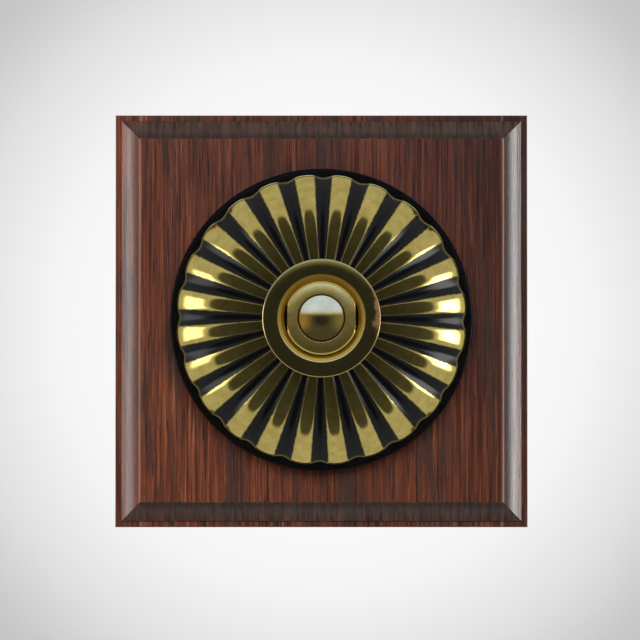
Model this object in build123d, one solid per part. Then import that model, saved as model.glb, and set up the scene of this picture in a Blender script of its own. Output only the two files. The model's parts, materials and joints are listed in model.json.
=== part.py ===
from build123d import *
import os
from math import acos, asin, cos, pi, radians, sin

# Heights run outwards from the wall, in mm, until the pieces are stood up at the end.

# Pattress
PATTRESS_SIDE = 94.0
PATTRESS_DEPTH = 16.0
LEDGE_WIDTH = 1.4
LEDGE_RISER = 0.6
ARRIS_ROUND = 0.25
COVE_WIDTH = 4.3
COVE_OUTER_SLOPE = radians(36)
COVE_INNER_SLOPE = radians(70)
CABLE_HOLE_R = 22.4
WALL_SCREW_SPACING = 60.3
WALL_SCREW_HOLE_R = 2.2
WALL_SCREW_HEAD_R = 4.0

# Base
BASE_SHOW = 1.7
BASE_EDGE_ROUND = 0.8
BASE_FLOOR = 3.0
BASE_LEDGE = 5.6
SPIGOT_RISE = 1.2
SPIGOT_WALL = 0.9
SPIGOT_CLEARANCE = 0.3
CABLE_SLOT_WIDTH = 10.0
CABLE_SLOT_HEIGHT = 5.8
CABLE_SLOT_OFFSET = 18.5

# Dome cover
FLUTES = 24
FLUTE_DEPTH_SEAT = 0.75
FLUTE_DEPTH_MIDDLE = 0.88
FLUTE_DEPTH_RIM = 0.62
FLUTE_NARROWING = 0.21
FLUTE_STEPS = 8
DOME_ROWS = 7
DOME_TURN = -0.75
DOME_RIM_R = 32.5
DOME_RIM_TILT = radians(53)
DOME_SEAT_R = 12.8
DOME_WALL = 0.9
DOME_HOLE_R = 8.45
RIM_BEAD_WIDTH = 0.3
RIM_BEAD_HEIGHT = 0.6

# Collar, washer and bush
COLLAR_R = 13.15
COLLAR_DEPTH = 1.7
COLLAR_EDGE = 0.25
COLLAR_LIP_DEPTH = 0.95
COLLAR_MOUTH_R = 9.45
COLLAR_BORE_R = 8.3
WASHER_DEPTH = 0.5
WASHER_R = 10.0
BUSH_R = 8.2
BUSH_FLAT = 7.55
BUSH_CHAMFER = 0.45
BUSH_RISE = 0.8
BUSH_FLANGE_R = 11.0
BUSH_FLANGE_DEPTH = 1.6
BUSH_SPIGOT_R = 7.2
BUSH_SPIGOT_DEPTH = 4.5
BUSH_BORE_R = 5.15
BUSH_CHAMBER_R = 6.1
BUSH_LIP = 3.1

# Button and its travel
BUTTON_R = 4.95
BUTTON_RISE = 0.7
BUTTON_CROWN = 0.78
BUTTON_FLANGE_R = 5.85
BUTTON_FLANGE_DEPTH = 1.5
BUTTON_TRAVEL = 2.0
STOP_GAP = 0.05

# Plunger, spring and moving contact
PLUNGER_R = 3.2
PLUNGER_SOCKET_R = 2.0
PLUNGER_SOCKET_DEPTH = 3.0
PLUNGER_TAIL_R = 1.5
PLUNGER_TAIL_SHOW = 0.3
SPRING_R = 4.6
SPRING_WIRE_R = 0.4
SPRING_TURNS = 4
BRIDGE_LENGTH = 17.0
BRIDGE_HEADROOM = 0.6
STRIP_WIDTH = 4.0
STRIP_THICKNESS = 0.8
CONTACT_OFFSET = 7.0
CONTACT_R = 1.3
MOVING_TIP_DEPTH = 0.7
CLIP_R = 3.0
CLIP_THICKNESS = 0.5
CLOSED_GAP = 0.03

# Housing
HOUSING_LENGTH = 22.0
HOUSING_WIDTH = 18.0
HOUSING_CORNER = 2.0
CONTACT_ROOM_LENGTH = 18.6
CONTACT_ROOM_WIDTH = 7.2
CONTACT_ROOM_HEIGHT = 6.0
PARTITION = 1.5
SPRING_ROOM_R = 5.8
FOOT_REACH = 15.0
FOOT_WIDTH = 8.0
FOOT_HEIGHT = 3.0
FOOT_SCREW_OFFSET = 12.0

# Terminals, earth tag and screws
TERMINAL_OFFSET = 20.0
TERMINAL_LENGTH = 7.0
TERMINAL_WIDTH = 8.0
TERMINAL_HEIGHT = 7.0
WIRE_HOLE_R = 1.8
WIRE_HOLE_HEIGHT = 2.8
RIVET_R = 1.6
STRIP_INNER_END = 5.0
STRIP_OUTER_END = 24.0
TAG_THICKNESS = 0.6
TAG_R = 10.6
TAG_WIDTH = 6.0
TAG_DROP = 4.6
TAG_BEND_OFFSET = 10.5
TAG_REACH = 17.6
TAG_SCREW_OFFSET = 14.4
SCREW_R = 1.4
SCREW_HEAD_R = 2.6
SCREW_HEAD_HEIGHT = 1.6
SCREW_SLOT = 0.7
FOOT_SCREW_LENGTH = 5.4
EARTH_SCREW_LENGTH = 4.0
WOOD_SCREW_INSET = 3.4
WOOD_SCREW_ANGLE = 45.0
WOOD_SCREW_LENGTH = 13.0
WOOD_SCREW_HEAD_DEPTH = 1.4
NUT_FLATS = 5.5
NUT_DEPTH = 2.2
SCREW_CLEARANCE = 0.1
SLIDE_CLEARANCE = 0.2

# Sizes and heights that follow from the dimensions above
FIELD_Z = PATTRESS_DEPTH
FLOOR_Z = FIELD_Z + BASE_FLOOR
LEDGE_Z = FIELD_Z + BASE_LEDGE
DOME_R = DOME_RIM_R / sin(DOME_RIM_TILT)
DOME_SEAT_TILT = asin(DOME_SEAT_R / DOME_R)
DOME_CENTRE_Z = LEDGE_Z + RIM_BEAD_HEIGHT - DOME_R * cos(DOME_RIM_TILT)
SEAT_Z = DOME_CENTRE_Z + DOME_R * cos(DOME_SEAT_TILT)
INNER_R = DOME_R - DOME_WALL
BASE_R = DOME_RIM_R + BASE_SHOW
SPIGOT_TILT = acos((LEDGE_Z + SPIGOT_RISE - DOME_CENTRE_Z) / INNER_R)
SPIGOT_OUTER_R = INNER_R * sin(SPIGOT_TILT) - FLUTE_DEPTH_RIM / sin(SPIGOT_TILT) - SPIGOT_CLEARANCE
SPIGOT_INNER_R = SPIGOT_OUTER_R - SPIGOT_WALL
WOOD_SCREW_OFFSET = SPIGOT_INNER_R - WOOD_SCREW_INSET
WASHER_Z = SEAT_Z - DOME_WALL - WASHER_DEPTH
FLANGE_Z = WASHER_Z - BUSH_FLANGE_DEPTH
TAG_Z = FLANGE_Z - TAG_THICKNESS
SPIGOT_Z = TAG_Z - BUSH_SPIGOT_DEPTH
BUSH_TOP_Z = SEAT_Z + COLLAR_DEPTH + BUSH_RISE
STOP_Z = BUSH_TOP_Z - BUSH_LIP
BUTTON_FLANGE_Z = STOP_Z - STOP_GAP - BUTTON_FLANGE_DEPTH
BUTTON_EDGE_Z = BUSH_TOP_Z + BUTTON_RISE
CONTACT_ROOM_Z = FLOOR_Z + CONTACT_ROOM_HEIGHT
SPRING_SEAT_Z = CONTACT_ROOM_Z + PARTITION
BRIDGE_TOP_Z = CONTACT_ROOM_Z - BRIDGE_HEADROOM
BRIDGE_Z = BRIDGE_TOP_Z - STRIP_THICKNESS
MOVING_TIP_Z = BRIDGE_Z - MOVING_TIP_DEPTH
FIXED_TIP_Z = FLOOR_Z + STRIP_THICKNESS
FIXED_TIP_TOP_Z = MOVING_TIP_Z - BUTTON_TRAVEL - CLOSED_GAP
TAG_FOOT_Z = TAG_Z - TAG_DROP

# Places of the pieces that come in pairs
WOOD_SCREW_PLACES = [Rot(0, 0, WOOD_SCREW_ANGLE + turn) * Pos(WOOD_SCREW_OFFSET, 0, 0) for turn in (0, 180)]
FOOT_SCREW_PLACES = [Pos(0, side * FOOT_SCREW_OFFSET, 0) for side in (1, -1)]
TERMINAL_PLACES = [Pos(side * TERMINAL_OFFSET, 0, 0) for side in (-1, 1)]


# Shared shapes

def turned(*points):
    """Solid turned about the z axis from (radius, height) points."""
    return revolve(Plane.XZ * make_face(Polyline(*points, close=True)), Axis.Z)


def rod(radius, low, high):
    """Upright cylinder between two heights."""
    return Pos(0, 0, low) * Cylinder(radius, high - low, align=(Align.CENTER, Align.CENTER, Align.MIN))


def block(x_size, y_size, low, high):
    """Upright block between two heights."""
    return Pos(0, 0, low) * Box(x_size, y_size, high - low, align=(Align.CENTER, Align.CENTER, Align.MIN))


def pan_screw(length):
    """Slotted pan-head screw with the underside of its head at height zero."""
    screw = turned(
        (0, SCREW_HEAD_HEIGHT),
        (SCREW_HEAD_R * 0.72, SCREW_HEAD_HEIGHT * 0.94),
        (SCREW_HEAD_R * 0.95, SCREW_HEAD_HEIGHT * 0.6),
        (SCREW_HEAD_R, 0),
        (SCREW_R, 0),
        (SCREW_R, 0.5 - length),
        (SCREW_R - 0.5, -length),
        (0, -length),
    )
    return screw - block(3 * SCREW_HEAD_R, SCREW_SLOT, SCREW_HEAD_HEIGHT / 2, 2 * SCREW_HEAD_HEIGHT)


def wood_screw():
    """Slotted countersunk screw with the face of its head at height zero."""
    screw = turned(
        (0, 0),
        (SCREW_HEAD_R, 0),
        (SCREW_R, -WOOD_SCREW_HEAD_DEPTH),
        (SCREW_R, 3 - WOOD_SCREW_LENGTH),
        (0, -WOOD_SCREW_LENGTH),
    )
    return screw - block(3 * SCREW_HEAD_R, SCREW_SLOT, -WOOD_SCREW_HEAD_DEPTH / 2, 1)


# Pattress

def pattress_bar():
    """Bar with the section of the pattress, along the y axis."""
    half = PATTRESS_SIDE / 2
    cove_r = COVE_WIDTH / (sin(COVE_INNER_SLOPE) - sin(COVE_OUTER_SLOPE))
    cove_rise = cove_r * (cos(COVE_OUTER_SLOPE) - cos(COVE_INNER_SLOPE))
    mid_slope = (COVE_OUTER_SLOPE + COVE_INNER_SLOPE) / 2
    foot = (half - LEDGE_WIDTH, PATTRESS_DEPTH - cove_rise)
    middle = (
        foot[0] - cove_r * (sin(mid_slope) - sin(COVE_OUTER_SLOPE)),
        foot[1] + cove_r * (cos(COVE_OUTER_SLOPE) - cos(mid_slope)),
    )
    arris = (foot[0] - COVE_WIDTH, PATTRESS_DEPTH)
    ledge_z = foot[1] - LEDGE_RISER
    with BuildSketch() as section:
        with BuildLine():
            Polyline((0, 0), (half, 0), (half, ledge_z), (foot[0], ledge_z), foot)
            ThreePointArc(foot, middle, arris)
            Polyline(arris, (0, PATTRESS_DEPTH), (0, 0))
        make_face()
        mirror(about=Plane.YZ)
        for x, y in (arris, foot, (half, ledge_z)):
            for side in (-1, 1):
                fillet(section.vertices().sort_by_distance((side * x, y, 0))[0], ARRIS_ROUND)
    return extrude(Plane.XZ * section.sketch, PATTRESS_SIDE / 2, both=True)


def make_pattress():
    bar = pattress_bar()
    solid = bar & Rot(0, 0, 90) * bar
    solid -= rod(CABLE_HOLE_R, -1, FIELD_Z + 1)
    countersink = turned(
        (0, -1),
        (WALL_SCREW_HOLE_R, -1),
        (WALL_SCREW_HOLE_R, FIELD_Z - WALL_SCREW_HEAD_R + WALL_SCREW_HOLE_R),
        (WALL_SCREW_HEAD_R, FIELD_Z),
        (WALL_SCREW_HEAD_R, FIELD_Z + 1),
        (0, FIELD_Z + 1),
    )
    for side in (-1, 1):
        solid -= Pos(side * WALL_SCREW_SPACING / 2, 0, 0) * countersink
    pilot = rod(SCREW_R + SCREW_CLEARANCE, FLOOR_Z - WOOD_SCREW_LENGTH - 1, FIELD_Z + 1)
    for place in WOOD_SCREW_PLACES:
        solid -= place * pilot
    return solid


# Base

def make_base():
    solid = turned(
        (0, FIELD_Z),
        (BASE_R, FIELD_Z),
        (BASE_R, LEDGE_Z),
        (SPIGOT_OUTER_R, LEDGE_Z),
        (SPIGOT_OUTER_R, LEDGE_Z + SPIGOT_RISE),
        (SPIGOT_INNER_R, LEDGE_Z + SPIGOT_RISE),
        (SPIGOT_INNER_R, FLOOR_Z),
        (0, FLOOR_Z),
    )
    outer_edge = solid.edges().filter_by(GeomType.CIRCLE).filter_by(lambda e: e.radius > BASE_R - 0.01)
    solid = fillet(outer_edge.sort_by(Axis.Z)[-1], BASE_EDGE_ROUND)
    sink = turned(
        (0, FIELD_Z - 1),
        (SCREW_R + SCREW_CLEARANCE, FIELD_Z - 1),
        (SCREW_R + SCREW_CLEARANCE, FLOOR_Z - WOOD_SCREW_HEAD_DEPTH),
        (SCREW_HEAD_R + SCREW_CLEARANCE, FLOOR_Z),
        (SCREW_HEAD_R + SCREW_CLEARANCE, FLOOR_Z + 0.1),
        (0, FLOOR_Z + 0.1),
    )
    for place in WOOD_SCREW_PLACES:
        solid -= place * sink
    for place in FOOT_SCREW_PLACES:
        solid -= place * rod(SCREW_R + SCREW_CLEARANCE, FIELD_Z - 1, FLOOR_Z + 1)
    for place in TERMINAL_PLACES:
        solid -= place * rod(RIVET_R + SCREW_CLEARANCE, FIELD_Z - 1, FLOOR_Z + 1)
    slot = block(CABLE_SLOT_WIDTH, CABLE_SLOT_HEIGHT, FIELD_Z - 1, FLOOR_Z + 1)
    for side in (-1, 1):
        solid -= Pos(0, side * CABLE_SLOT_OFFSET, 0) * slot
    return solid


# Dome cover

def flute_row(sphere_r, tilt, height, grow=0.0):
    """Points across one flute at a height, from valley to valley over its ridge."""
    run = (tilt - DOME_SEAT_TILT) / (DOME_RIM_TILT - DOME_SEAT_TILT)
    depth = FLUTE_DEPTH_SEAT * (1 - run) * (1 - 2 * run)
    depth += FLUTE_DEPTH_MIDDLE * 4 * run * (1 - run)
    depth += FLUTE_DEPTH_RIM * run * (2 * run - 1)
    row = []
    for step in range(FLUTE_STEPS + 1):
        u = 2 * step / FLUTE_STEPS - 1
        groove = (1 - cos(pi * u)) / 2 - FLUTE_NARROWING * (1 - cos(2 * pi * u)) / 2
        radius = sphere_r * sin(tilt) + grow - groove * depth / sin(tilt)
        angle = (1 + u) * pi / FLUTES
        row.append(Vector(radius * cos(angle), radius * sin(angle), height))
    return row


def all_round(shape):
    """Copies of one flute's face or edge, one for each flute."""
    return [Rot(0, 0, 360 * k / FLUTES) * shape for k in range(FLUTES)]


def fluted_skin(sphere_r, top_tilt, rim_tilt):
    """Rim edge, top edge and faces of a fluted sphere."""
    rows = []
    for k in range(DOME_ROWS + 1):
        tilt = top_tilt + (rim_tilt - top_tilt) * k / DOME_ROWS
        rows.append(flute_row(sphere_r, tilt, DOME_CENTRE_Z + sphere_r * cos(tilt)))
    face = Face.make_surface_from_array_of_points(rows, tol=0.003)
    edges = face.edges().sort_by(Axis.Z)
    return edges[0], edges[-1], all_round(face)


def make_dome_cover():
    """Sheet-metal dome, closed from its two skins, the rim bead and the flat seat round its hole."""
    inner_top_tilt = acos((SEAT_Z - DOME_CENTRE_Z - DOME_WALL) / INNER_R)
    inner_rim_tilt = acos(DOME_R * cos(DOME_RIM_TILT) / INNER_R)
    outer_rim, outer_top, outer_skin = fluted_skin(DOME_R, DOME_SEAT_TILT, DOME_RIM_TILT)
    inner_rim, inner_top, inner_skin = fluted_skin(INNER_R, inner_top_tilt, inner_rim_tilt)
    drop = Vector(0, 0, -RIM_BEAD_HEIGHT)
    bead_high = Edge.make_spline(flute_row(DOME_R, DOME_RIM_TILT, LEDGE_Z + RIM_BEAD_HEIGHT, RIM_BEAD_WIDTH))
    bead_low, inner_low = [Pos(drop) * edge for edge in (bead_high, inner_rim)]
    hole_low = Edge.make_circle(DOME_HOLE_R, Plane.XY.offset(SEAT_Z - DOME_WALL))
    hole_high = Edge.make_circle(DOME_HOLE_R, Plane.XY.offset(SEAT_Z))
    faces = [*outer_skin, *inner_skin, Face.extrude(hole_low, Vector(0, 0, DOME_WALL))]
    faces += all_round(Face.extrude(bead_high, drop)) + all_round(Face.extrude(inner_rim, drop))
    faces.append(Face(Wire(all_round(bead_high)), [Wire(all_round(outer_rim))]))
    faces.append(Face(Wire(all_round(bead_low)), [Wire(all_round(inner_low))]))
    faces.append(Face(Wire(all_round(outer_top)), [Wire(hole_high)]))
    faces.append(Face(Wire(all_round(inner_top)), [Wire(hole_low)]))
    return Rot(0, 0, DOME_TURN) * Solid(Shell(faces))


# Collar, washer and bush

def make_collar_nut():
    top = SEAT_Z + COLLAR_DEPTH
    return turned(
        (COLLAR_BORE_R, SEAT_Z),
        (COLLAR_R, SEAT_Z),
        (COLLAR_R, top - COLLAR_EDGE),
        (COLLAR_R - COLLAR_EDGE, top),
        (COLLAR_MOUTH_R, top),
        (COLLAR_BORE_R, top - COLLAR_LIP_DEPTH),
    )


def make_dome_washer():
    return rod(WASHER_R, WASHER_Z, WASHER_Z + WASHER_DEPTH) - rod(DOME_HOLE_R, WASHER_Z - 1, SEAT_Z)


def make_bush():
    stem = turned(
        (0, FLANGE_Z),
        (BUSH_R, FLANGE_Z),
        (BUSH_R, BUSH_TOP_Z - BUSH_CHAMFER),
        (BUSH_R - BUSH_CHAMFER, BUSH_TOP_Z),
        (0, BUSH_TOP_Z),
    )
    stem &= block(2 * BUSH_FLAT, 3 * BUSH_R, FLANGE_Z, BUSH_TOP_Z)
    solid = stem + rod(BUSH_FLANGE_R, FLANGE_Z, WASHER_Z) + rod(BUSH_SPIGOT_R, SPIGOT_Z, FLANGE_Z)
    bore = turned(
        (0, SPIGOT_Z - 1),
        (BUSH_CHAMBER_R, SPIGOT_Z - 1),
        (BUSH_CHAMBER_R, STOP_Z),
        (BUSH_BORE_R, STOP_Z),
        (BUSH_BORE_R, BUSH_TOP_Z - BUSH_CHAMFER / 2),
        (BUSH_BORE_R + BUSH_CHAMFER, BUSH_TOP_Z + BUSH_CHAMFER / 2),
        (0, BUSH_TOP_Z + BUSH_CHAMFER / 2),
    )
    return solid - bore


# Button, plunger and moving contact

def make_button():
    crown_z = BUTTON_EDGE_Z + BUTTON_CROWN
    crown_r = (BUTTON_R ** 2 + BUTTON_CROWN ** 2) / (2 * BUTTON_CROWN)
    solid = rod(BUTTON_R, BUTTON_FLANGE_Z, crown_z) & Pos(0, 0, crown_z - crown_r) * Sphere(crown_r)
    solid += rod(BUTTON_FLANGE_R, BUTTON_FLANGE_Z, BUTTON_FLANGE_Z + BUTTON_FLANGE_DEPTH)
    socket_r = PLUNGER_SOCKET_R + SCREW_CLEARANCE
    return solid - rod(socket_r, BUTTON_FLANGE_Z - 1, BUTTON_FLANGE_Z + PLUNGER_SOCKET_DEPTH)


def make_plunger():
    tail_z = MOVING_TIP_Z - PLUNGER_TAIL_SHOW
    solid = rod(PLUNGER_R, BRIDGE_TOP_Z, BUTTON_FLANGE_Z)
    solid += rod(PLUNGER_SOCKET_R, BUTTON_FLANGE_Z, BUTTON_FLANGE_Z + PLUNGER_SOCKET_DEPTH - 0.2)
    return solid + rod(PLUNGER_TAIL_R, tail_z, BRIDGE_TOP_Z)


def make_return_spring():
    low = SPRING_SEAT_Z + SPRING_WIRE_R
    height = BUTTON_FLANGE_Z - SPRING_WIRE_R - low
    path = Helix(pitch=height / SPRING_TURNS, height=height, radius=SPRING_R)
    wire = sweep(Plane(origin=path @ 0, z_dir=path % 0) * Circle(SPRING_WIRE_R), path=path)
    return Pos(0, 0, low) * wire


def make_contact_bridge():
    solid = block(BRIDGE_LENGTH, STRIP_WIDTH, BRIDGE_Z, BRIDGE_TOP_Z)
    solid += rod(STRIP_WIDTH * 0.7, BRIDGE_Z, BRIDGE_TOP_Z)
    return solid - rod(PLUNGER_TAIL_R + SCREW_CLEARANCE, BRIDGE_Z - 1, BRIDGE_TOP_Z + 1)


def make_bridge_clip():
    solid = rod(CLIP_R, BRIDGE_Z - CLIP_THICKNESS, BRIDGE_Z)
    solid -= rod(PLUNGER_TAIL_R + SCREW_CLEARANCE / 2, BRIDGE_Z - 1, BRIDGE_Z + 1)
    notch = Pos(PLUNGER_TAIL_R + 0.3, 0, 0) * block(1.2, 0.5, BRIDGE_Z - 1, BRIDGE_Z + 1)
    for k in range(3):
        solid -= Rot(0, 0, 120 * k) * notch
    return solid


# Housing

def make_switch_housing():
    outline = RectangleRounded(HOUSING_LENGTH, HOUSING_WIDTH, HOUSING_CORNER)
    solid = Pos(0, 0, FLOOR_Z) * extrude(outline, TAG_Z - FLOOR_Z)
    solid += block(FOOT_WIDTH, 2 * FOOT_REACH, FLOOR_Z, FLOOR_Z + FOOT_HEIGHT)
    solid -= block(CONTACT_ROOM_LENGTH, CONTACT_ROOM_WIDTH, FLOOR_Z - 1, CONTACT_ROOM_Z)
    solid -= rod(PLUNGER_R + SLIDE_CLEARANCE, FLOOR_Z, TAG_Z)
    solid -= rod(SPRING_ROOM_R, SPRING_SEAT_Z, TAG_Z + 1)
    solid -= rod(BUSH_SPIGOT_R + SCREW_CLEARANCE, SPIGOT_Z, TAG_Z + 1)
    solid -= block(2 * HOUSING_LENGTH, STRIP_WIDTH + 0.4, FLOOR_Z - 1, FLOOR_Z + STRIP_THICKNESS + 0.2)
    for place in FOOT_SCREW_PLACES:
        solid -= place * rod(SCREW_R + SCREW_CLEARANCE, FLOOR_Z - 1, FLOOR_Z + FOOT_HEIGHT + 1)
    return solid


# Fixed contacts and terminals

def make_fixed_contact():
    """Contact strip on the right-hand side."""
    length = STRIP_OUTER_END - STRIP_INNER_END
    strip = Pos(STRIP_INNER_END + length / 2, 0, 0) * block(length, STRIP_WIDTH, FLOOR_Z, FIXED_TIP_Z)
    hole = Pos(TERMINAL_OFFSET, 0, 0) * rod(RIVET_R + SCREW_CLEARANCE, FLOOR_Z - 1, FIXED_TIP_Z + 1)
    return strip - hole


def make_terminal():
    """Pillar terminal on the right-hand side, with its rivet through the base."""
    top = FIXED_TIP_Z + TERMINAL_HEIGHT
    solid = block(TERMINAL_LENGTH, TERMINAL_WIDTH, FIXED_TIP_Z, top)
    solid = chamfer(solid.edges().filter_by(Axis.Z), 0.6)
    solid += rod(RIVET_R, FIELD_Z + 0.4, FIXED_TIP_Z)
    wire_z = FIXED_TIP_Z + WIRE_HOLE_HEIGHT
    wire_hole = Pos(0, 0, wire_z) * Rot(90, 0, 0) * Cylinder(WIRE_HOLE_R, 2 * TERMINAL_WIDTH)
    screw_hole = rod(SCREW_R + SCREW_CLEARANCE, wire_z, top + 1)
    return Pos(TERMINAL_OFFSET, 0, 0) * (solid - wire_hole - screw_hole)


# Earth tag

def make_earth_tag():
    ring = rod(TAG_R, TAG_Z, FLANGE_Z)
    bend = TAG_BEND_OFFSET + TAG_THICKNESS
    arm = Pos(0, -bend / 2, 0) * block(TAG_WIDTH, bend, TAG_Z, FLANGE_Z)
    leg = Pos(0, TAG_THICKNESS / 2 - bend, 0) * block(TAG_WIDTH, TAG_THICKNESS, TAG_FOOT_Z, FLANGE_Z)
    foot_length = TAG_REACH - TAG_BEND_OFFSET
    foot = Pos(0, -TAG_BEND_OFFSET - foot_length / 2, 0) * block(
        TAG_WIDTH, foot_length, TAG_FOOT_Z, TAG_FOOT_Z + TAG_THICKNESS
    )
    solid = ring + arm + leg + foot
    solid -= rod(BUSH_SPIGOT_R + SCREW_CLEARANCE, TAG_Z - 1, FLANGE_Z + 1)
    return solid - Pos(0, -TAG_SCREW_OFFSET, 0) * rod(SCREW_R + SCREW_CLEARANCE, TAG_FOOT_Z - 1, TAG_Z)


def make_earth_nut():
    nut = extrude(RegularPolygon(NUT_FLATS / 2, 6, major_radius=False), NUT_DEPTH)
    nut -= rod(SCREW_R + SCREW_CLEARANCE, -1, NUT_DEPTH + 1)
    return Pos(0, -TAG_SCREW_OFFSET, TAG_FOOT_Z - NUT_DEPTH) * nut


# Assembly

moving_tip = Pos(CONTACT_OFFSET, 0, 0) * rod(CONTACT_R, MOVING_TIP_Z, BRIDGE_Z)
fixed_tip = Pos(CONTACT_OFFSET, 0, 0) * rod(CONTACT_R, FIXED_TIP_Z, FIXED_TIP_TOP_Z)
fixed_contact = make_fixed_contact()
terminal = make_terminal()
clamp_place = Pos(TERMINAL_OFFSET, 0, FIXED_TIP_Z + TERMINAL_HEIGHT)
clamp_screw = clamp_place * pan_screw(TERMINAL_HEIGHT - WIRE_HOLE_HEIGHT)
OPPOSITE = Rot(0, 0, 180)

nodes = {
    "pattress": make_pattress(),
    "base": make_base(),
    "dome_cover": make_dome_cover(),
    "collar_nut": make_collar_nut(),
    "dome_washer": make_dome_washer(),
    "bush": make_bush(),
    "button": make_button(),
    "plunger": make_plunger(),
    "return_spring": make_return_spring(),
    "contact_bridge": make_contact_bridge(),
    "bridge_clip": make_bridge_clip(),
    "switch_housing": make_switch_housing(),
    "earth_tag": make_earth_tag(),
    "earth_nut": make_earth_nut(),
    "earth_screw": Pos(0, -TAG_SCREW_OFFSET, TAG_FOOT_Z + TAG_THICKNESS) * pan_screw(EARTH_SCREW_LENGTH),
}
for name, turn in (("load", Rot(0, 0, 0)), ("line", OPPOSITE)):
    nodes[name + "_contact"] = turn * fixed_contact
    nodes[name + "_contact_tip"] = turn * fixed_tip
    nodes[name + "_terminal"] = turn * terminal
    nodes[name + "_terminal_screw"] = turn * clamp_screw
    nodes["bridge_tip_" + name] = turn * moving_tip
for k, name in enumerate(("upper", "lower")):
    foot_top = Pos(0, 0, FLOOR_Z + FOOT_HEIGHT)
    nodes["base_screw_" + name] = WOOD_SCREW_PLACES[k] * Pos(0, 0, FLOOR_Z) * wood_screw()
    nodes["housing_screw_" + name] = FOOT_SCREW_PLACES[k] * foot_top * pan_screw(FOOT_SCREW_LENGTH)

# Stood up on the wall: front towards -Y, top towards +Z
os.makedirs("parts", exist_ok=True)
for name, shape in nodes.items():
    export_step(Rot(90, 0, 0) * shape.solid(), f"parts/{name}.step")
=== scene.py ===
import json
from math import asin, cos, pi, radians, sin

import bmesh
import bpy
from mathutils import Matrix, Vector


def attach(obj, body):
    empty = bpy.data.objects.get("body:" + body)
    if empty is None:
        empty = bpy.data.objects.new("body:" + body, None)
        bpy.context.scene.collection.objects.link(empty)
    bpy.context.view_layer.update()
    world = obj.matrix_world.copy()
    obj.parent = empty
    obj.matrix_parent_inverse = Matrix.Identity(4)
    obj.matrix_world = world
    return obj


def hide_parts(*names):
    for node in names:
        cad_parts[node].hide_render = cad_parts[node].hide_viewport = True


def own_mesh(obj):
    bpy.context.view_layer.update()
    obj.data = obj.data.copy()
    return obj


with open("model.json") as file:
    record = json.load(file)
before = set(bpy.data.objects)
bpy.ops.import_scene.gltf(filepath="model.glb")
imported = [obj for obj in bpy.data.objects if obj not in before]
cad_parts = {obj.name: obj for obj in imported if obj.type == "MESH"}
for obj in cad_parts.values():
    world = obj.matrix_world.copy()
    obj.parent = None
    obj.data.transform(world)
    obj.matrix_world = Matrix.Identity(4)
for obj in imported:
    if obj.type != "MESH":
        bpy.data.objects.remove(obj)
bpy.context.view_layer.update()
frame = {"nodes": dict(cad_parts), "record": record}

MM = 0.001

# Sizes in mm, with heights measured out of the wall

FLUTES = 24
FLUTE_DEPTH_SEAT = 0.75
FLUTE_DEPTH_MIDDLE = 0.88
FLUTE_DEPTH_RIM = 0.62
FLUTE_NARROWING = 0.21
DOME_RIM_R = 32.5
RIM_TILT = radians(53)
SEAT_R = 12.8
DOME_WALL = 0.9
DOME_TURN = radians(-0.75)
LEDGE_Z = 21.6
BEAD_HEIGHT = 0.6
BEAD_WIDTH = 0.3

COLLAR_R = 13.15
COLLAR_DEPTH = 1.7
COLLAR_EDGE = 0.2
COLLAR_MOUTH_R = 9.75
COLLAR_LIP_R = 8.95
COLLAR_LIP_DROP = 0.33
COLLAR_BORE_R = 8.3
COLLAR_BORE_DROP = 0.95
COLLAR_ROUND = 0.10

BUSH_RISE = 0.8
BUSH_R = 8.2
BUSH_FLAT = 7.55
BUSH_FLAT_DROP = 1.3
BUSH_SHOULDER_DROP = 0.55
BUSH_FACE_R = 7.75
BUSH_FACE_FALL = 0.12
BUSH_MOUTH_R = 5.37
BUSH_MOUTH_DROP = 0.22
BUSH_BORE_R = 5.15
BUSH_STOP_DROP = 3.1
BUSH_FLANGE_R = 11.0
BUSH_FLANGE_TOP_DROP = 1.4
BUSH_FLANGE_DROP = 3.0
BUSH_SKIRT_R = 7.2
BUSH_SKIRT_BORE_R = 6.1
BUSH_SKIRT_DROP = 8.1
BUSH_ROUND = 0.08

BUTTON_R = 4.95
BUTTON_RISE = 0.7
BUTTON_CROWN = 0.78
BUTTON_EDGE_IN = 0.02
BUTTON_EDGE_UP = 0.03
BUTTON_EDGE_DOWN = 0.06
BUTTON_FLANGE_R = 5.85
BUTTON_FLANGE_DEPTH = 1.5
BUTTON_STOP_GAP = 0.05
PLUNGER_HOLE_R = 2.1
PLUNGER_HOLE_DEPTH = 3.0

SPRING_SEAT = 26.5
SPRING_R = 4.6
SPRING_WIRE_R = 0.4
SPRING_TURNS = 4

ROUND_SEGMENTS = 192
BUTTON_SEGMENTS = 160

DOME_R = DOME_RIM_R / sin(RIM_TILT)
DOME_CENTRE_Z = LEDGE_Z + BEAD_HEIGHT - DOME_R * cos(RIM_TILT)
SEAT_TILT = asin(SEAT_R / DOME_R)
SEAT_Z = DOME_CENTRE_Z + DOME_R * cos(SEAT_TILT)
COLLAR_TOP = SEAT_Z + COLLAR_DEPTH
BUSH_TOP = COLLAR_TOP + BUSH_RISE
STOP_Z = BUSH_TOP - BUSH_STOP_DROP
BUTTON_EDGE_Z = BUSH_TOP + BUTTON_RISE
BUTTON_FLANGE_TOP = STOP_Z - BUTTON_STOP_GAP
BUTTON_FLANGE_Z = BUTTON_FLANGE_TOP - BUTTON_FLANGE_DEPTH
SPRING_LENGTH = BUTTON_FLANGE_Z - SPRING_SEAT


# Meshes

def placed(point):
    """Drawing point (x, up, out of the wall) in mm, as a point of the frame in metres."""
    return Vector((point[0] * MM, -point[2] * MM, point[1] * MM))


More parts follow.
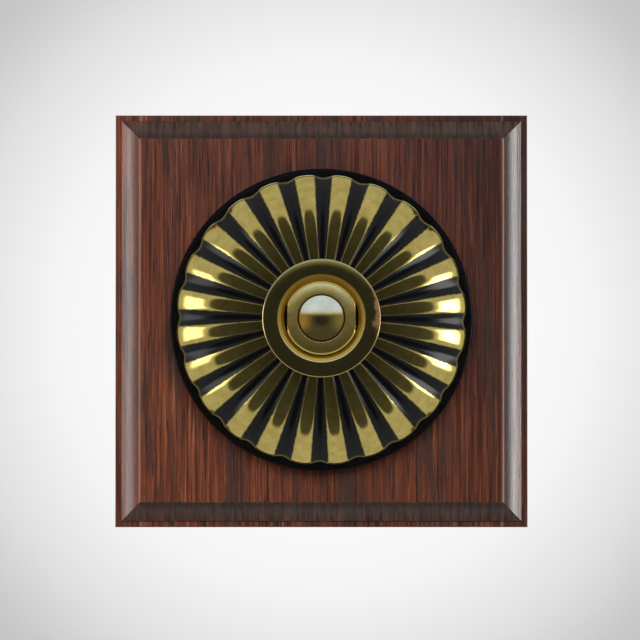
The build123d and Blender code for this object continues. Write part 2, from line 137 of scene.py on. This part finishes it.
def new_piece(name, points, faces, smooth_angle):
    mesh = bpy.data.meshes.new(name)
    mesh.from_pydata([placed(p) for p in points], [], faces)
    mesh.validate()
    bm = bmesh.new()
    bm.from_mesh(mesh)
    bmesh.ops.recalc_face_normals(bm, faces=bm.faces)
    bm.to_mesh(mesh)
    bm.free()
    obj = bpy.data.objects.new(name, mesh)
    bpy.context.scene.collection.objects.link(obj)
    for poly in mesh.polygons:
        poly.use_smooth = True
    mesh.set_sharp_from_angle(angle=radians(smooth_angle))
    return obj


def rounded(profile, radius, steps=4):
    """Closed (radius, height) profile with its corners rounded."""
    out = []
    count = len(profile)
    for k in range(count):
        here = Vector(profile[k])
        before = Vector(profile[k - 1]) - here
        after = Vector(profile[(k + 1) % count]) - here
        reach = min(radius, 0.45 * before.length, 0.45 * after.length)
        start = here + before.normalized() * reach
        end = here + after.normalized() * reach
        for s in range(steps + 1):
            t = s / steps
            p = start * (1 - t) ** 2 + here * 2 * t * (1 - t) + end * t ** 2
            out.append((p.x, p.y))
    return out


def lathe(name, profile, segments, flat=None):
    """Closed profile turned about the button's axis; flat is a half width and the height it starts at."""
    points = []
    faces = []
    count = len(profile)
    for s in range(segments):
        a = 2 * pi * s / segments
        for r, z in profile:
            x = r * cos(a)
            if flat is not None and z > flat[1]:
                x = max(-flat[0], min(flat[0], x))
            points.append((x, r * sin(a), z))
    for s in range(segments):
        t = (s + 1) % segments
        for k in range(count):
            n = (k + 1) % count
            faces.append((s * count + k, s * count + n, t * count + n, t * count + k))
    return new_piece(name, points, faces, 24)


def flute_radius(tilt, u, sphere_r):
    """Radius of the fluted sphere at a tilt; u is 0 on a ridge and 1 in a valley."""
    run = (tilt - SEAT_TILT) / (RIM_TILT - SEAT_TILT)
    depth = FLUTE_DEPTH_SEAT * (1 - run) * (1 - 2 * run)
    depth += FLUTE_DEPTH_MIDDLE * 4 * run * (1 - run)
    depth += FLUTE_DEPTH_RIM * run * (2 * run - 1)
    groove = (1 - cos(pi * u)) / 2 - FLUTE_NARROWING * (1 - cos(2 * pi * u)) / 2
    return sphere_r * sin(tilt) - groove * depth / sin(tilt)


def dome_rings(rows, inner_rows):
    """Rings from the seat over the rim bead and back inside: tilt, height, sphere, growth, run."""
    rings = []
    for k in range(rows + 1):
        tilt = SEAT_TILT + (RIM_TILT - SEAT_TILT) * k / rows
        rings.append((tilt, DOME_CENTRE_Z + DOME_R * cos(tilt), DOME_R, 0.0, k / rows))
    bead = ((1.0, 0.5), (0.98, 0.9), (0.8, 1.0), (0.15, 1.0), (0.0, 0.8))
    for height, width in bead:
        rings.append((RIM_TILT, LEDGE_Z + BEAD_HEIGHT * height, DOME_R, width * BEAD_WIDTH, 1.0))
    inner = DOME_R - DOME_WALL
    for k in range(inner_rows, -1, -1):
        tilt = SEAT_TILT + (RIM_TILT - SEAT_TILT) * k / inner_rows
        z = max(LEDGE_Z, DOME_CENTRE_Z + inner * cos(tilt))
        rings.append((tilt, z, inner, 0.0, k / inner_rows))
    return rings


def make_dome():
    across = 20
    around = FLUTES * across
    rings = dome_rings(56, 14)
    count = len(rings)
    points = []
    flute = []
    share = []
    faces = []
    for tilt, z, sphere_r, grow, run in rings:
        for j in range(around):
            u = abs(((j / across) % 1.0) * 2 - 1)
            r = flute_radius(tilt, u, sphere_r) + grow
            a = 2 * pi * j / around + DOME_TURN
            points.append((r * cos(a), r * sin(a), z))
            flute.append(u)
            share.append(run)
    for i in range(count):
        n = (i + 1) % count
        for j in range(around):
            k = (j + 1) % around
            faces.append((i * around + j, i * around + k, n * around + k, n * around + j))
    obj = new_piece("dome_visual", points, faces, 40)
    for name, values in (("flute_u", flute), ("dome_run", share)):
        layer = obj.data.attributes.new(name, "FLOAT", "POINT")
        layer.data.foreach_set("value", values)
    return obj


def make_collar():
    profile = [
        (COLLAR_BORE_R, SEAT_Z),
        (COLLAR_R, SEAT_Z),
        (COLLAR_R, COLLAR_TOP - COLLAR_EDGE),
        (COLLAR_R - COLLAR_EDGE, COLLAR_TOP),
        (COLLAR_MOUTH_R, COLLAR_TOP),
        (COLLAR_LIP_R, COLLAR_TOP - COLLAR_LIP_DROP),
        (COLLAR_BORE_R, COLLAR_TOP - COLLAR_BORE_DROP),
    ]
    return lathe("collar_visual", rounded(profile, COLLAR_ROUND), ROUND_SEGMENTS)


def make_bush():
    profile = [
        (BUSH_SKIRT_BORE_R, SEAT_Z - BUSH_SKIRT_DROP),
        (BUSH_SKIRT_R, SEAT_Z - BUSH_SKIRT_DROP),
        (BUSH_SKIRT_R, SEAT_Z - BUSH_FLANGE_DROP),
        (BUSH_FLANGE_R, SEAT_Z - BUSH_FLANGE_DROP),
        (BUSH_FLANGE_R, SEAT_Z - BUSH_FLANGE_TOP_DROP),
        (BUSH_R, SEAT_Z - BUSH_FLANGE_TOP_DROP),
        (BUSH_R, BUSH_TOP - BUSH_SHOULDER_DROP),
        (BUSH_FACE_R, BUSH_TOP - BUSH_FACE_FALL),
        (BUSH_MOUTH_R, BUSH_TOP),
        (BUSH_BORE_R, BUSH_TOP - BUSH_MOUTH_DROP),
        (BUSH_BORE_R, STOP_Z),
        (BUSH_SKIRT_BORE_R, STOP_Z),
    ]
    flat = (BUSH_FLAT, SEAT_Z - BUSH_FLAT_DROP)
    return lathe("bush_visual", rounded(profile, BUSH_ROUND), ROUND_SEGMENTS, flat)


def make_button():
    steps = 24
    sphere = (BUTTON_R ** 2 + BUTTON_CROWN ** 2) / (2 * BUTTON_CROWN)
    sphere_z = BUTTON_EDGE_Z + BUTTON_CROWN - sphere
    profile = [(0.0, BUTTON_FLANGE_Z + PLUNGER_HOLE_DEPTH)]
    for k in range(steps):
        r = BUTTON_R * k / steps
        profile.append((r, sphere_z + (sphere ** 2 - r ** 2) ** 0.5))
    profile += [
        (BUTTON_R - BUTTON_EDGE_IN, BUTTON_EDGE_Z + BUTTON_EDGE_UP),
        (BUTTON_R, BUTTON_EDGE_Z - BUTTON_EDGE_DOWN),
        (BUTTON_R, BUTTON_FLANGE_TOP),
        (BUTTON_FLANGE_R, BUTTON_FLANGE_TOP),
        (BUTTON_FLANGE_R, BUTTON_FLANGE_Z),
        (PLUNGER_HOLE_R, BUTTON_FLANGE_Z),
        (PLUNGER_HOLE_R, BUTTON_FLANGE_Z + PLUNGER_HOLE_DEPTH),
    ]
    return lathe("button_visual", profile, BUTTON_SEGMENTS)


def make_spring():
    """Helical spring of round wire between its seat and the flange of the button."""
    along = 40 * SPRING_TURNS
    around = 12
    rise = (SPRING_LENGTH - 2 * SPRING_WIRE_R) / (2 * pi * SPRING_TURNS)
    points = []
    faces = []
    for k in range(along + 1):
        a = 2 * pi * SPRING_TURNS * k / along
        out = Vector((cos(a), sin(a), 0))
        tangent = Vector((-SPRING_R * sin(a), SPRING_R * cos(a), rise)).normalized()
        middle = out * SPRING_R + Vector((0, 0, SPRING_SEAT + SPRING_WIRE_R + rise * a))
        for j in range(around):
            t = 2 * pi * j / around
            points.append(middle + (out * cos(t) + tangent.cross(out) * sin(t)) * SPRING_WIRE_R)
    for k in range(along):
        for j in range(around):
            n = (j + 1) % around
            faces.append((k * around + j, k * around + n, (k + 1) * around + n, (k + 1) * around + j))
    faces.append(tuple(range(around)))
    faces.append(tuple(along * around + j for j in range(around)))
    return new_piece("spring_visual", points, faces, 50)


# Shader helpers

def material(name):
    mat = bpy.data.materials.new(name)
    mat.use_nodes = True
    tree = mat.node_tree
    return mat, tree, tree.nodes["Principled BSDF"]


def node(tree, kind, **settings):
    made = tree.nodes.new(kind)
    for key, value in settings.items():
        setattr(made, key, value)
    return made


def link(tree, source, target):
    tree.links.new(source, target)


def feed(tree, socket, value):
    """Gives a socket a number, a colour or another node's output."""
    if isinstance(value, (int, float)):
        socket.default_value = value
    elif isinstance(value, tuple):
        socket.default_value = (*value, 1)
    else:
        link(tree, value, socket)


def grey(value):
    return (value, value, value)


def ramp(tree, source, stops, mode="LINEAR"):
    made = node(tree, "ShaderNodeValToRGB")
    made.color_ramp.interpolation = mode
    elements = made.color_ramp.elements
    while len(elements) < len(stops):
        elements.new(0.5)
    for element, (place, colour) in zip(elements, stops):
        element.position = place
        element.color = (*colour, 1)
    link(tree, source, made.inputs[0])
    return made.outputs[0]


def as_colour(tree, value):
    return ramp(tree, value, [(0.0, grey(0.0)), (1.0, grey(1.0))])


def mix(tree, factor, first, second, blend="MIX"):
    made = node(tree, "ShaderNodeMix", data_type="RGBA", blend_type=blend)
    feed(tree, made.inputs[0], factor)
    feed(tree, made.inputs[6], first)
    feed(tree, made.inputs[7], second)
    return made.outputs[2]


def maths(tree, operation, first, second=0.0, clamp=False):
    made = node(tree, "ShaderNodeMath", operation=operation, use_clamp=clamp)
    feed(tree, made.inputs[0], first)
    feed(tree, made.inputs[1], second)
    return made.outputs[0]


def add(tree, first, second):
    return maths(tree, "ADD", first, second)


def times(tree, *values):
    total = values[0]
    for value in values[1:]:
        total = maths(tree, "MULTIPLY", total, value)
    return total


def size_of(tree, value):
    return maths(tree, "ABSOLUTE", value)


def negative(tree, value):
    return times(tree, value, -1.0)


def rest_of(tree, value, clamp=False):
    return maths(tree, "SUBTRACT", 1.0, value, clamp)


def length_of(tree, first, second):
    return maths(tree, "SQRT", add(tree, times(tree, first, first), times(tree, second, second)))


def axes(tree, vector):
    made = node(tree, "ShaderNodeSeparateXYZ")
    link(tree, vector, made.inputs[0])
    return made.outputs


def millimetres(tree, stretch=(1, 1, 1)):
    """Object coordinates in mm, times a stretch for each axis."""
    place = node(tree, "ShaderNodeTexCoord")
    scale = node(tree, "ShaderNodeMapping")
    scale.inputs["Scale"].default_value = [s / MM for s in stretch]
    link(tree, place.outputs["Object"], scale.inputs["Vector"])
    return scale.outputs["Vector"]


def noise(tree, vector, scale, detail=4.0, rough=0.55, distort=0.0):
    made = node(tree, "ShaderNodeTexNoise")
    made.inputs["Scale"].default_value = scale
    made.inputs["Detail"].default_value = detail
    made.inputs["Roughness"].default_value = rough
    made.inputs["Distortion"].default_value = distort
    link(tree, vector, made.inputs["Vector"])
    return made.outputs[0]


def bump(tree, height, strength, distance, bsdf):
    made = node(tree, "ShaderNodeBump")
    made.inputs["Strength"].default_value = strength
    made.inputs["Distance"].default_value = distance
    link(tree, height, made.inputs["Height"])
    link(tree, made.outputs[0], bsdf.inputs["Normal"])


# Stained oak, with its grain running upwards

def long_grain(tree, place, broad, fine):
    streak = noise(tree, millimetres(tree, (1.5, 1.5, 0.030)), 1.0, 6.0, 0.72, 0.5)
    smoke = noise(tree, millimetres(tree, (0.22, 0.22, 0.026)), 1.0, 3.0, 0.6, 0.8)
    lines = noise(tree, millimetres(tree, (1.9, 1.9, 0.011)), 1.0, 3.0, 0.6, 0.2)
    colour = ramp(tree, streak, [
        (0.37, (0.058, 0.017, 0.009)), (0.46, (0.175, 0.041, 0.016)),
        (0.56, (0.275, 0.068, 0.026)), (0.67, (0.420, 0.142, 0.066)),
    ])
    tone = ramp(tree, broad, [(0.32, grey(0.72)), (0.66, grey(1.12))])
    colour = mix(tree, 1.0, colour, tone, "MULTIPLY")
    # The board darkens towards its upper right
    across = add(tree, times(tree, place[0], 0.0099), 0.45)
    across = add(tree, across, times(tree, place[2], 0.0036))
    upper_right_darkening = ramp(tree, across, [
        (0.045, grey(1.02)), (0.315, grey(0.95)), (0.63, grey(0.80)), (0.86, grey(0.49)), (0.95, grey(0.36)),
    ])
    colour = mix(tree, 1.0, colour, upper_right_darkening, "MULTIPLY")
    smoky = ramp(tree, smoke, [(0.50, grey(0.0)), (0.66, grey(0.78))])
    colour = mix(tree, smoky, colour, (0.058, 0.034, 0.025))
    pores = ramp(tree, fine, [(0.37, grey(0.95)), (0.44, grey(0.0))])
    colour = mix(tree, pores, colour, (0.020, 0.008, 0.005))
    dark_lines = ramp(tree, lines, [(0.60, grey(0.0)), (0.66, grey(0.75))])
    return mix(tree, dark_lines, colour, (0.030, 0.011, 0.007))


def cut_grain_and_shade(tree, upright):
    """Colour of the end grain in the upper and lower coves, with painted light and shade by slope."""
    slope_lines = noise(tree, millimetres(tree, (1.6, 0.10, 0.05)), 1.0, 4.0, 0.65, 0.3)
    colour = ramp(tree, slope_lines, [(0.38, (0.010, 0.006, 0.004)), (0.64, (0.098, 0.050, 0.034))])
    # Painted light and shade: parts facing more to the front are lightened, parts facing more up or down
    # darkened
    painted_shade_by_slope = ramp(tree, upright, [(0.60, grey(1.35)), (0.90, grey(0.50))])
    return mix(tree, 1.0, colour, painted_shade_by_slope, "MULTIPLY")


def rubbed_arris_and_highlight(tree, beside, broad, end_grain):
    """Share of lighter wood on the arris beside the left and right coves: worn bare wood and a painted
    highlight.
    """
    arris_x = 41.2
    off = size_of(tree, maths(tree, "SUBTRACT", beside, arris_x))
    rubbed_and_highlight = rest_of(tree, times(tree, off, 2.2), True)
    patchy = ramp(tree, broad, [(0.35, grey(0.25)), (0.6, grey(0.8))])
    return times(tree, rubbed_and_highlight, patchy, rest_of(tree, end_grain))


def oak():
    mat, tree, bsdf = material("stained_oak")
    place = axes(tree, millimetres(tree))
    facing = axes(tree, node(tree, "ShaderNodeTexCoord").outputs["Normal"])
    upright = size_of(tree, facing[2])
    beside = size_of(tree, place[0])
    fine = noise(tree, millimetres(tree, (4.2, 4.2, 0.10)), 1.0, 3.0, 0.6)
    broad = noise(tree, millimetres(tree, (0.09, 0.09, 0.008)), 1.0, 2.0, 0.5, 0.6)
    end_grain = ramp(tree, upright, [(0.15, grey(0.0)), (0.6, grey(0.85))])
    colour = long_grain(tree, place, broad, fine)
    colour = mix(tree, end_grain, colour, cut_grain_and_shade(tree, upright))
    # Painted shade: surfaces that face right are darkened
    painted_shade_right_facing = ramp(tree, facing[0], [(0.68, grey(1.0)), (0.86, grey(0.40))])
    colour = mix(tree, 1.0, colour, painted_shade_right_facing, "MULTIPLY")
    # Lighter arris: worn bare wood and a painted highlight
    colour = mix(tree, rubbed_arris_and_highlight(tree, beside, broad, end_grain), colour, (0.55, 0.26, 0.17))
    link(tree, colour, bsdf.inputs["Base Color"])
    # The outer left and right sides are sawn and dull
    sides = ramp(tree, times(tree, beside, 0.02), [(0.9375, grey(0.0)), (0.9385, grey(1.0))])
    rough = ramp(tree, fine, [(0.3, grey(0.36)), (0.6, grey(0.24))])
    link(tree, mix(tree, sides, rough, grey(0.65)), bsdf.inputs["Roughness"])
    handled = ramp(tree, size_of(tree, facing[0]), [(0.10, grey(0.26)), (0.40, grey(0.98))])
    polish = mix(tree, end_grain, handled, grey(0.32))
    link(tree, mix(tree, sides, polish, grey(0.10)), bsdf.inputs["Specular IOR Level"])
    bump(tree, fine, 0.30, 0.00010, bsdf)
    return mat


# Mouldings and metals

def black_moulding():
    mat, tree, bsdf = material("black_moulding")
    cloud = noise(tree, millimetres(tree), 0.5, 3.0)
    grain = noise(tree, millimetres(tree), 6.0, 2.0)
    colour = ramp(tree, cloud, [(0.3, (0.003, 0.003, 0.003)), (0.7, (0.006, 0.005, 0.005))])
    link(tree, colour, bsdf.inputs["Base Color"])
    link(tree, ramp(tree, cloud, [(0.3, grey(0.16)), (0.7, grey(0.22))]), bsdf.inputs["Roughness"])
    bsdf.inputs["Specular IOR Level"].default_value = 0.06
    bump(tree, grain, 0.06, 0.00005, bsdf)
    return mat


def brass(name, light, dark, rough_low, rough_high, grain_scale):
    mat, tree, bsdf = material(name)
    cloud = noise(tree, millimetres(tree), 0.35, 4.0, 0.6)
    grain = noise(tree, millimetres(tree), grain_scale, 3.0)
    specks = noise(tree, millimetres(tree), 2.6, 2.0, 0.5)
    colour = ramp(tree, cloud, [(0.32, dark), (0.66, light)])
    pits = ramp(tree, specks, [(0.70, grey(0.0)), (0.76, grey(0.7))])
    link(tree, mix(tree, pits, colour, (0.05, 0.035, 0.012)), bsdf.inputs["Base Color"])
    bsdf.inputs["Metallic"].default_value = 1.0
    rough = ramp(tree, grain, [(0.3, grey(rough_low)), (0.7, grey(rough_high))])
    link(tree, rough, bsdf.inputs["Roughness"])
    bump(tree, grain, 0.03, 0.00004, bsdf)
    return mat


def collar_brass():
    """Brass with a coppery stain on its right edge and a duller, warmer inner lip."""
    mat = brass("collar_brass", (0.60, 0.50, 0.19), (0.52, 0.43, 0.15), 0.04, 0.07, 7.0)
    tree = mat.node_tree
    bsdf = tree.nodes["Principled BSDF"]
    clean = bsdf.inputs["Base Color"].links[0].from_socket
    rough = bsdf.inputs["Roughness"].links[0].from_socket
    place = axes(tree, millimetres(tree))
    x = place[0]
    z = place[2]
    # A ramp runs from 0 to 1, which stands for 20 mm here
    share = 0.05
    ragged = times(tree, noise(tree, millimetres(tree), 0.5, 3.0), 3.0)
    right = times(tree, add(tree, x, ragged), share)
    patch = ramp(tree, right, [(0.645, grey(0.0)), (0.705, grey(0.85))])
    height = times(tree, add(tree, z, 10.0), share)
    upper = ramp(tree, height, [(0.25, grey(0.0)), (0.42, grey(1.0))])
    patch = mix(tree, 1.0, patch, upper, "MULTIPLY")
    radius = times(tree, length_of(tree, x, z), share)
    lip = ramp(tree, radius, [(0.482, grey(1.0)), (0.490, grey(0.0))])
    stained = mix(tree, patch, clean, (0.36, 0.185, 0.085))
    link(tree, mix(tree, lip, stained, (0.74, 0.50, 0.09)), bsdf.inputs["Base Color"])
    rough = mix(tree, patch, rough, grey(0.38))
    link(tree, mix(tree, lip, rough, grey(0.45)), bsdf.inputs["Roughness"])
    return mat


def antique_dome():
    """Black finish in the valleys, rubbed through to brass on the ridges."""
    mat, tree, bsdf = material("antique_brass_dome")
    flute = node(tree, "ShaderNodeAttribute", attribute_name="flute_u").outputs["Fac"]
    run = node(tree, "ShaderNodeAttribute", attribute_name="dome_run").outputs["Fac"]
    cloud = noise(tree, millimetres(tree), 0.45, 4.0, 0.6)
    wander = noise(tree, millimetres(tree), 0.9, 3.0)
    specks = noise(tree, millimetres(tree), 3.0, 2.0, 0.5)
    grain = noise(tree, millimetres(tree), 9.0, 3.0)
    edge = add(tree, flute, ramp(tree, run, [(0.0, grey(0.04)), (0.35, grey(0.10))]))
    edge = add(tree, edge, times(tree, maths(tree, "SUBTRACT", wander, 0.5), 0.12))
    worn = ramp(tree, edge, [(0.565, grey(1.0)), (0.675, grey(0.0))], "EASE")
    bead = ramp(tree, run, [(0.990, grey(0.0)), (0.998, grey(0.30))])
    worn = mix(tree, 1.0, worn, bead, "LIGHTEN")
    colour = ramp(tree, cloud, [(0.34, (0.47, 0.370, 0.100)), (0.66, (0.60, 0.490, 0.155))])
    pits = ramp(tree, specks, [(0.68, grey(0.0)), (0.75, grey(0.8))])
    colour = mix(tree, pits, colour, (0.05, 0.04, 0.02))
    # The brass is darker towards the collar
    darker_towards_seat = ramp(tree, run, [(0.0, grey(0.40)), (0.50, grey(1.0))])
    colour = mix(tree, 1.0, colour, darker_towards_seat, "MULTIPLY")
    link(tree, mix(tree, worn, (0.0045, 0.004, 0.004), colour), bsdf.inputs["Base Color"])
    link(tree, worn, bsdf.inputs["Metallic"])
    rough = ramp(tree, grain, [(0.3, grey(0.07)), (0.7, grey(0.12))])
    link(tree, mix(tree, worn, grey(0.16), rough), bsdf.inputs["Roughness"])
    bsdf.inputs["Specular IOR Level"].default_value = 0.15
    bump(tree, add(tree, grain, times(tree, specks, 0.6)), 0.03, 0.00005, bsdf)
    return mat


def plain(name, low, high, rough, metallic=0.0):
    mat, tree, bsdf = material(name)
    cloud = noise(tree, millimetres(tree), 1.2, 4.0)
    link(tree, ramp(tree, cloud, [(0.3, low), (0.7, high)]), bsdf.inputs["Base Color"])
    link(tree, ramp(tree, cloud, [(0.3, grey(rough)), (0.7, grey(rough + 0.12))]), bsdf.inputs["Roughness"])
    bsdf.inputs["Metallic"].default_value = metallic
    bump(tree, cloud, 0.05, 0.00005, bsdf)
    return mat


mats = {
    "oak": oak(),
    "black_moulding": black_moulding(),
    "antique_brass": antique_dome(),
    "polished_brass": brass("polished_brass", (0.60, 0.48, 0.18), (0.52, 0.40, 0.14), 0.06, 0.10, 7.0),
    "fibre": plain("red_fibre", (0.20, 0.05, 0.03), (0.30, 0.09, 0.05), 0.7),
    "brown_moulding": plain("brown_moulding", (0.030, 0.014, 0.008), (0.055, 0.026, 0.014), 0.30),
    "white_moulding": plain("white_moulding", (0.70, 0.67, 0.58), (0.80, 0.77, 0.70), 0.45),
    "spring_steel": plain("spring_steel", (0.46, 0.46, 0.47), (0.58, 0.58, 0.59), 0.22, 1.0),
    "contact_brass": brass("contact_brass", (0.66, 0.52, 0.22), (0.54, 0.41, 0.15), 0.24, 0.36, 4.0),
    "silver": plain("silver_tip", (0.72, 0.72, 0.70), (0.84, 0.84, 0.82), 0.20, 1.0),
    "plated_steel": plain("plated_steel", (0.48, 0.46, 0.38), (0.60, 0.58, 0.50), 0.28, 1.0),
}
own = {
    "bush": brass("satin_brass", (0.60, 0.47, 0.14), (0.54, 0.40, 0.10), 0.17, 0.22, 6.0),
    "collar_nut": collar_brass(),
}

# Visible pieces, each in place of a solid, and finishes for the other solids

dome = make_dome()
collar = make_collar()
bush = make_bush()
button = make_button()
spring = make_spring()
pieces = (
    (dome, "dome_cover", "antique_brass", "switch"),
    (collar, "collar_nut", "polished_brass", "switch"),
    (bush, "bush", "polished_brass", "switch"),
    (button, "button", "polished_brass", "push_button"),
    (spring, "return_spring", "spring_steel", "switch"),
)
for piece, cad_node, slot, body in pieces:
    piece.data.materials.append(own.get(cad_node, mats[slot]))
    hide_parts(cad_node)
    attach(piece, body)

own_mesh(spring)

slots = {s["node"]: s["material_slot"] for s in frame["record"]["subparts"]}
replaced = {p[1] for p in pieces}
for name, obj in frame["nodes"].items():
    if name not in replaced:
        obj.data.materials.clear()
        obj.data.materials.append(mats[slots[name]])


# Studio: a pale floor well below, and a world that is white to the camera and a softbox room to the rest

FLOOR_HALF = 3.0
FLOOR_Z = -0.7


def make_floor():
    corners = [(-1, -1), (1, -1), (1, 1), (-1, 1)]
    mesh = bpy.data.meshes.new("floor")
    mesh.from_pydata([(x * FLOOR_HALF, y * FLOOR_HALF, FLOOR_Z) for x, y in corners], [], [(0, 1, 2, 3)])
    floor = bpy.data.objects.new("floor", mesh)
    bpy.context.scene.collection.objects.link(floor)
    mat, tree, bsdf = material("pale_floor")
    tone = noise(tree, millimetres(tree), 0.01, 2.0)
    link(tree, ramp(tree, tone, [(0.3, grey(0.82)), (0.7, grey(0.86))]), bsdf.inputs["Base Color"])
    bsdf.inputs["Roughness"].default_value = 0.8
    floor.data.materials.append(mat)
    floor.visible_glossy = False


def step(tree, value, low, high):
    """Smooth step of a direction's part from 0 at low to 1 at high."""
    made = node(tree, "ShaderNodeMapRange", interpolation_type="SMOOTHSTEP")
    made.inputs["From Min"].default_value = low
    made.inputs["From Max"].default_value = high
    link(tree, value, made.inputs["Value"])
    return made.outputs[0]


def room_light(tree, x, y, z):
    """Pale room behind the switch, darker towards the camera, with a bright box on the left and right."""
    surround = step(tree, add(tree, y, times(tree, z, 0.03)), -0.208, -0.182)
    behind = rest_of(tree, times(tree, step(tree, y, 0.28, 0.52), 0.75))
    off_axis = step(tree, y, -0.9996, -0.962)
    level = add(tree, times(tree, surround, behind, 0.60), times(tree, off_axis, 0.055))
    level = add(tree, level, 0.034)
    side_box = times(
        tree,
        step(tree, size_of(tree, x), 0.90, 0.94),
        step(tree, y, -0.14, -0.06),
        step(tree, negative(tree, y), -0.24, -0.15),
        step(tree, negative(tree, size_of(tree, z)), -0.34, -0.20),
    )
    strength = add(tree, times(tree, step(tree, x, -0.1, 0.1), 3.6), 2.8)
    level = add(tree, level, times(tree, side_box, strength))
    made = node(tree, "ShaderNodeCombineColor")
    for socket in made.inputs:
        link(tree, level, socket)
    return made.outputs[0]


def key_light(tree, y, z, is_glossy):
    """Large box above the camera, which the brass shows as a cool sky."""
    box = times(tree, step(tree, z, 0.065, 0.19), step(tree, negative(tree, y), 0.795, 0.810))
    cool = ramp(tree, z, [(0.12, (0.76, 0.74, 0.52)), (0.24, (0.76, 1.14, 3.0))])
    tint = mix(tree, is_glossy, grey(3.6), cool)
    return mix(tree, 1.0, tint, as_colour(tree, box), "MULTIPLY")


def wing_light(tree, x, y, z):
    """Warm panels low on the left and right of the camera."""
    wings = times(
        tree,
        step(tree, size_of(tree, x), 0.18, 0.55),
        step(tree, negative(tree, y), 0.78, 0.83),
        step(tree, z, -0.42, -0.10),
        step(tree, negative(tree, z), -0.16, -0.02),
    )
    warm = mix(tree, step(tree, x, -0.1, 0.1), (0.42, 0.26, 0.05), (0.22, 0.20, 0.10))
    return mix(tree, 1.0, warm, as_colour(tree, wings), "MULTIPLY")


def bounce_light(tree, y, z):
    low = times(tree, step(tree, negative(tree, z), 0.05, 0.30), step(tree, negative(tree, y), 0.70, 0.85))
    return ramp(tree, low, [(0.0, grey(0.0)), (1.0, (0.016, 0.014, 0.003))])


def backdrop(tree, x, z):
    """White that the camera sees, falling off towards the corners."""
    away = length_of(tree, x, maths(tree, "SUBTRACT", z, 0.0235))
    return ramp(tree, away, [
        (0.030, grey(0.985)), (0.061, grey(0.910)), (0.082, grey(0.750)),
        (0.100, grey(0.560)), (0.22, grey(0.86)),
    ])


def make_world():
    world = bpy.data.worlds.new("studio")
    world.use_nodes = True
    tree = world.node_tree
    tree.nodes.clear()
    x, y, z = axes(tree, node(tree, "ShaderNodeTexCoord").outputs["Generated"])
    paths = node(tree, "ShaderNodeLightPath")
    room = room_light(tree, x, y, z)
    room = mix(tree, 1.0, room, key_light(tree, y, z, paths.outputs["Is Glossy Ray"]), "ADD")
    room = mix(tree, 1.0, room, wing_light(tree, x, y, z), "ADD")
    room = mix(tree, 1.0, room, bounce_light(tree, y, z), "ADD")
    shade = node(tree, "ShaderNodeBackground")
    seen = mix(tree, paths.outputs["Is Camera Ray"], room, backdrop(tree, x, z))
    link(tree, seen, shade.inputs["Color"])
    out = node(tree, "ShaderNodeOutputWorld")
    link(tree, shade.outputs[0], out.inputs["Surface"])
    bpy.context.scene.world = world


# Camera: square on, a little below the middle, with a long lens

SIDE = 94.0 * MM
CAMERA_DISTANCE = 1.0
CAMERA_BELOW = radians(1.37)
AIM_OUT = 0.010
PICTURE_PX = 640
SIDE_PX = 412.1
SHIFT_X_PX = -1.44
SHIFT_Y_PX = 1.04
SENSOR = 36.0


def make_camera():
    data = bpy.data.cameras.new("camera")
    camera = bpy.data.objects.new("camera", data)
    bpy.context.scene.collection.objects.link(camera)
    camera.location = (0, -CAMERA_DISTANCE, -CAMERA_DISTANCE * sin(CAMERA_BELOW))
    aim = Vector((0, -AIM_OUT, 0)) - camera.location
    camera.rotation_euler = aim.to_track_quat("-Z", "Y").to_euler()
    data.sensor_width = SENSOR
    data.lens = SENSOR * (CAMERA_DISTANCE - AIM_OUT) / (SIDE * PICTURE_PX / SIDE_PX)
    data.shift_x = SHIFT_X_PX / PICTURE_PX
    data.shift_y = SHIFT_Y_PX / PICTURE_PX
    bpy.context.scene.camera = camera


make_floor()
make_world()
make_camera()
bpy.context.scene.view_settings.view_transform = "Standard"
